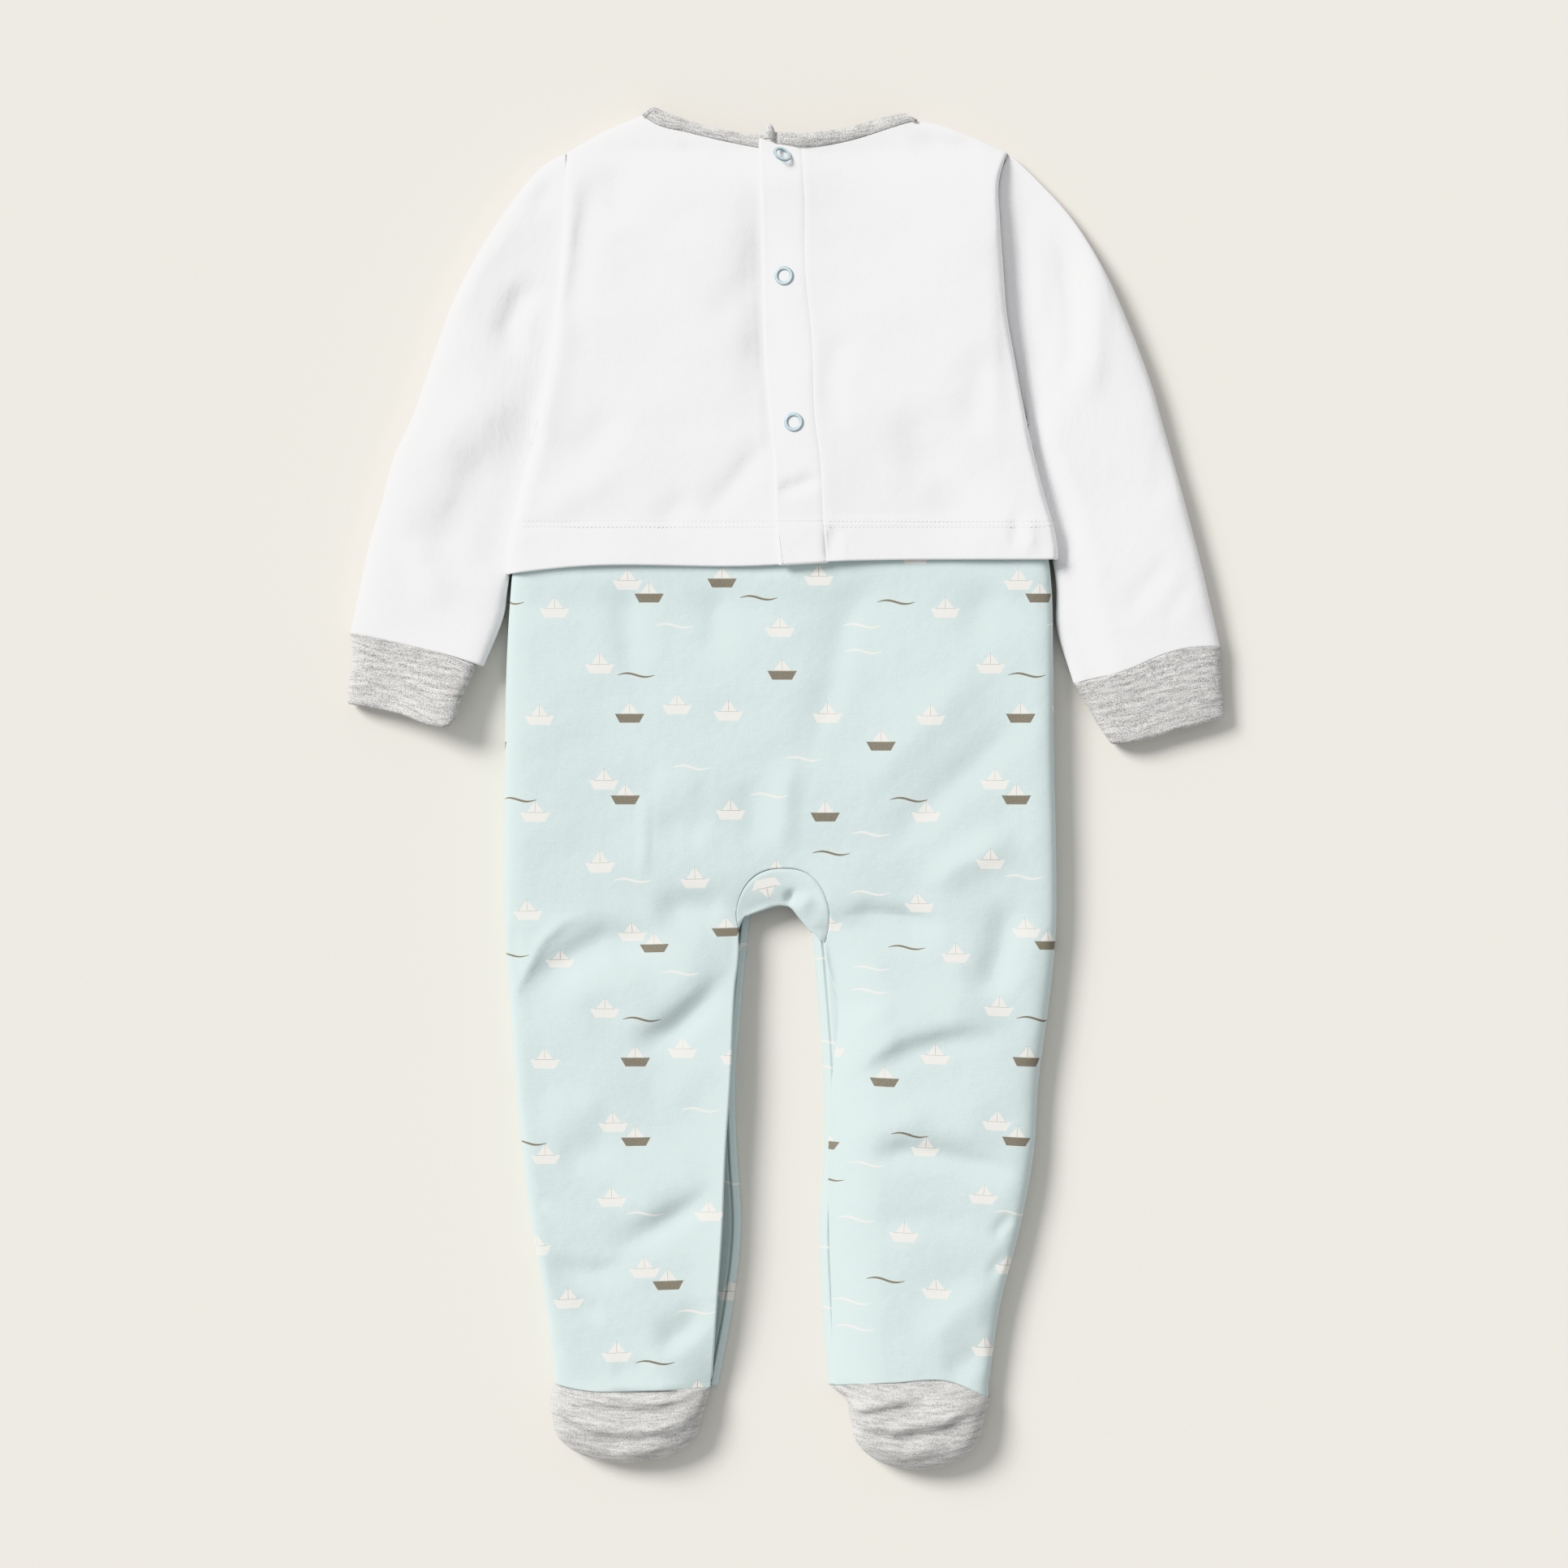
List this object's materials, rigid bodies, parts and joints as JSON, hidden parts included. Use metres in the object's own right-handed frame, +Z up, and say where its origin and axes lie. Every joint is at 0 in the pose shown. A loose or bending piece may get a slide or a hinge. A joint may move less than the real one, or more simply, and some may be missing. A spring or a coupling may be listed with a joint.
{
  "type": "footed baby sleepsuit",
  "caption": "Footed baby sleepsuit laid flat with its back up: white mock top with a snapped back placket over pale-blue printed trousers, heather-grey cuffs, neck binding and feet.",
  "frame": {"origin": "centre of the bounding box in plan, on the floor that the garment lies on", "axes": "+X across the garment from the wearer's left sleeve to the right, +Y from the toes to the neck, +Z up from the floor through the front to the back"},
  "size_m": [0.4098, 0.6355, 0.0203],
  "materials": {
    "white_jersey": "matt cotton jersey",
    "printed_jersey": "matt cotton jersey with a small printed repeat",
    "heather_grey_rib": "matt heather rib",
    "heather_grey_jersey": "matt heather jersey",
    "snap_enamel": "enamelled ring"
  },
  "bodies": {
    "root": {"top_back_left": "white_jersey", "top_back_right": "white_jersey", "back_placket": "white_jersey", "top_front": "white_jersey", "sleeve_left": "white_jersey", "sleeve_right": "white_jersey", "bottom_back": "printed_jersey", "bottom_front": "printed_jersey", "crotch_gusset": "printed_jersey", "leg_placket_left": "printed_jersey", "leg_placket_right": "printed_jersey", "cuff_left": "heather_grey_rib", "cuff_right": "heather_grey_rib", "neck_binding": "heather_grey_rib", "foot_sole_left": "heather_grey_jersey", "foot_sole_right": "heather_grey_jersey", "foot_vamp_left": "heather_grey_jersey", "foot_vamp_right": "heather_grey_jersey", "snap_1": "snap_enamel", "snap_2": "snap_enamel", "snap_3": "snap_enamel"}
  },
  "joints": []
}
